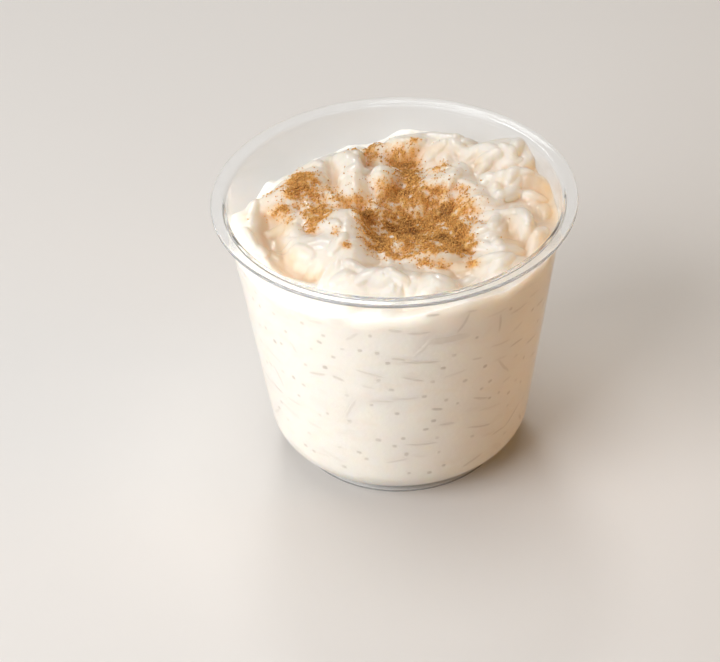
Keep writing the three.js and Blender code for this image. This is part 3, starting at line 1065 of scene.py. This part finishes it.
class DESSERT_OT_wall_rice(bpy.types.Operator):
    """Press grains of rice against the inside of the wall"""

    bl_idname = "dessert.wall_rice"
    bl_label = "Rice at the wall"
    seed = 91
    rings = 4
    sides = 18
    shore_steps = 360
    lowest = 10
    span = 49
    # Steps of an even spread over the wall, as shares of a turn and of the span.
    turn_step = 0.7548777
    span_step = 0.5698403
    # Grains seen end on and grains seen from the side. Those past the narrow share are broad and faint.
    dot = SimpleNamespace(long=(1.0, 1.7), wide=(0.9, 1.3), strength=(0.3, 0.75), room=2.2)
    streak = SimpleNamespace(long=(3.0, 9.0), wide=(0.75, 1.15), strength=(0.14, 0.5), room=3.5)
    dot_share = 0.34
    narrow_share = 0.88
    broader = 2.4
    fainter = 0.45
    level_share = 0.82
    level = (-20, 20)
    steep = (-70, 70)
    degree_length = 0.6
    below_shore = 0.6
    waves = (-0.18, 0.18)
    wave_pace = 1.1
    # How far a grain's two sides swell out of and into the fill, and their rims' offset.
    swells = (0.03, -0.12)
    rim_offset = 0.004
    round_overlap = 1.3

    def execute(self, context):
        cup, heap = shapes()
        scene = context.scene
        draw = seeded(self.seed)
        grains = self.scatter(draw, scene.dessert_rice.at_wall)
        rho = np.repeat(np.arange(1, self.rings + 1) / self.rings, self.sides)
        phi = np.tile(np.arange(self.sides) * 2 * math.pi / self.sides, self.rings)
        rho, phi = np.concatenate([[0], rho]), np.concatenate([[0], phi])
        heart = 1 - rho**2
        around = np.linspace(-math.pi, math.pi, self.shore_steps + 1)
        shore = heap.shoreline(around)
        edge = heap.surface(shore * np.cos(around), shore * np.sin(around))
        points, faces, depth = [], [], []
        for angle, height, long, wide, slope, strength in grains:
            heading = math.radians(angle)
            c, s = math.cos(math.radians(slope)), math.sin(math.radians(slope))
            tall = (abs(s) * long + wide) / 2
            top = np.interp((heading + math.pi) % (2 * math.pi) - math.pi, around, edge)
            height = min(height, top - tall - self.below_shore)
            wave = draw(*self.waves) * wide
            u = rho * blunt(np.cos(phi)) * long / 2
            v = rho * blunt(np.sin(phi)) * wide / 2 + wave * np.cos(u * self.wave_pace)
            z = height + s * u + c * v
            for swell in self.swells:
                wall = heap.fill(z) + swell * heart + self.rim_offset * np.sign(swell)
                bottom = self.rounded(cup, heap, z) + swell * heart
                r = np.where(z < cup.round_height - self.round_overlap, bottom, wall)
                turn = heading + (c * u - s * v) / np.mean(r)
                faces += self.disc(len(points) * len(rho), swell > 0)
                points.append(ring_points(r, turn, z))
                depth.append(np.full_like(rho, strength))
        finish = pressed_finish(scene.dessert_pudding, scene.dessert_rice)
        values = {"heart": np.tile(heart, len(points)), "depth": np.concatenate(depth)}
        mesh_piece("rice_at_wall", np.concatenate(points), faces, finish, values)
        return {"FINISHED"}

    def scatter(self, draw, tries):
        """The listed grains, and more spread evenly over the wall where there is room."""
        grains = list(WALL_GRAINS)
        for i in range(tries):
            angle = 360 * ((i * self.turn_step) % 1)
            height = self.lowest + self.span * ((i * self.span_step) % 1) + draw(-2, 2)
            kind = draw(0, 1)
            look = self.dot if kind < self.dot_share else self.streak
            long, wide = draw(*look.long), draw(*look.wide)
            slope = draw(*self.level) if draw(0, 1) < self.level_share else draw(*self.steep)
            strength = draw(*look.strength)
            if kind > self.narrow_share:
                wide, strength = self.broader * wide, self.fainter * strength
            apart = [
                math.hypot(self.degree_length * ((angle - other[0] + 180) % 360 - 180), height - other[1])
                for other in grains
            ]
            if min(apart) > look.room:
                grains.append((angle, height, long, wide, slope, strength))
        return grains

    def rounded(self, cup, heap, z):
        """Radius of the fill over the rounded bottom edge."""
        radius = cup.sizes.bottom_round - cup.sizes.wall
        drop = np.clip(cup.round_height - z, 0, radius)
        return cup.round_radius + np.sqrt(radius**2 - drop**2) + heap.pudding.into_wall

    def disc(self, start, outward):
        """Faces of one side of a pressed grain."""
        faces = []
        for i in range(self.sides):
            j = (i + 1) % self.sides
            ring = [(start, start + 1 + i, start + 1 + j)]
            for k in range(self.rings - 1):
                a, b = start + 1 + k * self.sides, start + 1 + (k + 1) * self.sides
                ring.append((a + i, b + i, b + j, a + j))
            faces += ring if outward else [face[::-1] for face in ring]
        return faces


class DESSERT_OT_cinnamon(bpy.types.Operator):
    """Scatter the loose specks of ground cinnamon"""

    bl_idname = "dessert.cinnamon"
    bl_label = "Cinnamon"
    seed = 17
    tries = 40
    field = 37
    reach = 36.5
    gathering = 2.1
    smallest = 0.11
    growth = 0.17
    stretches = (0.6, 1.5)
    lifts = (0.0, 0.35)
    lift_share = 0.6
    rest_share = 0.3
    mean_tone = 0.24
    tone_spread = 0.24
    # Specks turn paler where the dusting is thick, a painted highlight on heaped crumbs.
    painted_highlight = 0.16
    # Where the dusting is thickest they turn darker, partly damp cinnamon and partly painted shade in the
    # hollow.
    damp_and_shade_start = 1.08
    damp_and_shade_darker = 1.7

    def execute(self, context):
        _, heap = shapes()
        look = context.scene.dessert_cinnamon
        random = np.random.default_rng(self.seed)
        x, y = random.uniform(-self.field, self.field, (2, self.tries * look.specks))
        chance = dusting(x, y) ** self.gathering
        keep = (random.uniform(0, 1, len(x)) < chance) & (np.hypot(x, y) < self.reach)
        x, y = x[keep][: look.specks], y[keep][: look.specks]
        thick = dusting(x, y)
        count = len(x)
        size = self.smallest + self.growth * random.uniform(0, 1, count) ** 2
        stretch = random.uniform(*self.stretches, (count, 1, 3))
        turn = self.turns(random.normal(size=(count, 4)))
        crumb = np.array(SPECK_CORNERS, float)[None] * stretch
        shape = np.einsum("nab,nvb->nva", turn, crumb) * size[:, None, None]
        lift = random.uniform(*self.lifts, count) * np.clip(thick, 0.2, 1.0)
        z = self.ground(heap, x, y) + self.rest_share * size + lift * self.lift_share
        points = shape + np.stack([x, y, z], 1)[:, None, :]
        corners = len(SPECK_CORNERS)
        faces = np.array(SPECK_SIDES)[None] + corners * np.arange(count)[:, None, None]
        # Tone: random, paler where thick as a painted highlight, darker where thickest as damp cinnamon
        # and painted shade.
        damp_and_shade = self.damp_and_shade_darker * np.clip(thick - self.damp_and_shade_start, 0, None)
        tone = random.normal(self.mean_tone, self.tone_spread, count) - self.painted_highlight * thick + damp_and_shade
        mesh_piece(
            "cinnamon_specks",
            points.reshape(-1, 3),
            faces.reshape(-1, 3).tolist(),
            speck_finish(look),
            {"tone": np.repeat(np.clip(tone, 0, 1), corners)},
        )
        return {"FINISHED"}

    def ground(self, heap, x, y):
        """Height of the cream, or of a grain that stands out of it."""
        z = heap.surface(x, y)
        for grain in heap.clear + heap.showing:
            near = heap.near(grain, x, y)
            if near.any():
                z[near] = np.maximum(z[near], heap.grain_top(grain, x[near], y[near], 0.0))
        return z

    def turns(self, q):
        """Rotation matrices from quaternions of any length."""
        w, i, j, k = (q / np.linalg.norm(q, axis=1, keepdims=True)).T
        rows = [
            [1 - 2 * (j * j + k * k), 2 * (i * j - k * w), 2 * (i * k + j * w)],
            [2 * (i * j + k * w), 1 - 2 * (i * i + k * k), 2 * (j * k - i * w)],
            [2 * (i * k - j * w), 2 * (j * k + i * w), 1 - 2 * (i * i + j * j)],
        ]
        return np.stack([np.stack(row, -1) for row in rows], 1)


class DESSERT_OT_stage(bpy.types.Operator):
    """Set the floor, the lamps and the camera"""

    bl_idname = "dessert.stage"
    bl_label = "Stage"

    def execute(self, context):
        scene = context.scene
        look = scene.dessert_stage
        self.floor(scene, look)
        for row in LAMPS:
            self.lamp(scene, *row)
        world = bpy.data.worlds.new("soft_room")
        world.use_nodes = True
        sky = world.node_tree.nodes["Background"]
        sky.inputs["Color"].default_value = (*look.room, 1.0)
        sky.inputs["Strength"].default_value = look.room_strength
        scene.world = world
        scene.view_settings.view_transform = "Standard"
        self.camera(scene, look)
        return {"FINISHED"}

    def camera(self, scene, look):
        """A camera at the photo's angle."""
        camera = bpy.data.cameras.new("photo_camera")
        camera.sensor_width = 36.0
        camera.lens = look.lens
        camera.clip_start, camera.clip_end = 0.01, 50.0
        holder = bpy.data.objects.new("photo_camera", camera)
        scene.collection.objects.link(holder)
        holder.matrix_world = (
            Matrix.Translation((0.0, -look.camera_back, look.camera_height))
            @ Matrix.Rotation(-look.camera_pan, 4, "Z")
            @ Matrix.Rotation(math.pi / 2 - look.camera_pitch, 4, "X")
            @ Matrix.Rotation(look.camera_roll, 4, "Z")
        )
        scene.camera = holder

    def floor(self, scene, look):
        """A wide plain floor at the height of the foot."""
        made, output, place = material("plain_floor")
        shade = (0.3 * place.noise(60.0, 3.0)).mix(look.floor, [0.94 * value for value in look.floor])
        finish_material(output, place.principled({"Base Color": shade, "Roughness": 0.7}))
        mesh = bpy.data.meshes.new("plain_floor")
        half = look.floor_half
        corners = [(-half, -half, 0), (half, -half, 0), (half, half, 0), (-half, half, 0)]
        mesh.from_pydata(corners, [], [(0, 1, 2, 3)])
        mesh.materials.append(made)
        plane = bpy.data.objects.new("plain_floor", mesh)
        scene.collection.objects.link(plane)

    def lamp(self, scene, name, place, size, watts, tint):
        """A soft square lamp that faces the pudding."""
        light = bpy.data.lights.new(name, "AREA")
        light.size = size
        light.energy = watts
        light.color = tint
        holder = bpy.data.objects.new(name, light)
        holder.location = place
        aim = Vector(LAMP_AIM) - holder.location
        holder.rotation_euler = aim.to_track_quat("-Z", "Y").to_euler()
        scene.collection.objects.link(holder)


class DESSERT_PT_panel(bpy.types.Panel):
    """Lists the pieces of the dessert and their sizes"""

    bl_idname = "DESSERT_PT_panel"
    bl_label = "Rice pudding cup"
    bl_space_type = "VIEW_3D"
    bl_region_type = "UI"
    bl_category = "Dessert"

    def draw(self, context):
        for operator in OPERATORS:
            self.layout.operator(operator.bl_idname)
        for group in GROUPS:
            holder = getattr(context.scene, group)
            for name in holder.__annotations__:
                self.layout.prop(holder, name)


GROUPS = {
    "dessert_cup": CupSizes,
    "dessert_pudding": PuddingSizes,
    "dessert_rice": RiceSizes,
    "dessert_cinnamon": CinnamonLook,
    "dessert_stage": StageLook,
}
OPERATORS = (
    DESSERT_OT_cup,
    DESSERT_OT_pudding,
    DESSERT_OT_rice,
    DESSERT_OT_wall_rice,
    DESSERT_OT_cinnamon,
    DESSERT_OT_stage,
)


def register():
    """Registers the property groups, operators and panel."""
    for name, group in GROUPS.items():
        bpy.utils.register_class(group)
        setattr(bpy.types.Scene, name, bpy.props.PointerProperty(type=group))
    for made in (*OPERATORS, DESSERT_PT_panel):
        bpy.utils.register_class(made)


def unregister():
    """Removes what register added."""
    for made in (DESSERT_PT_panel, *reversed(OPERATORS)):
        bpy.utils.unregister_class(made)
    for name, group in GROUPS.items():
        delattr(bpy.types.Scene, name)
        bpy.utils.unregister_class(group)


def main():
    """Builds every piece in order."""
    register()
    bpy.ops.dessert.cup()
    bpy.ops.dessert.pudding()
    bpy.ops.dessert.rice()
    bpy.ops.dessert.wall_rice()
    bpy.ops.dessert.cinnamon()
    bpy.ops.dessert.stage()


if __name__ == "__main__":
    main()
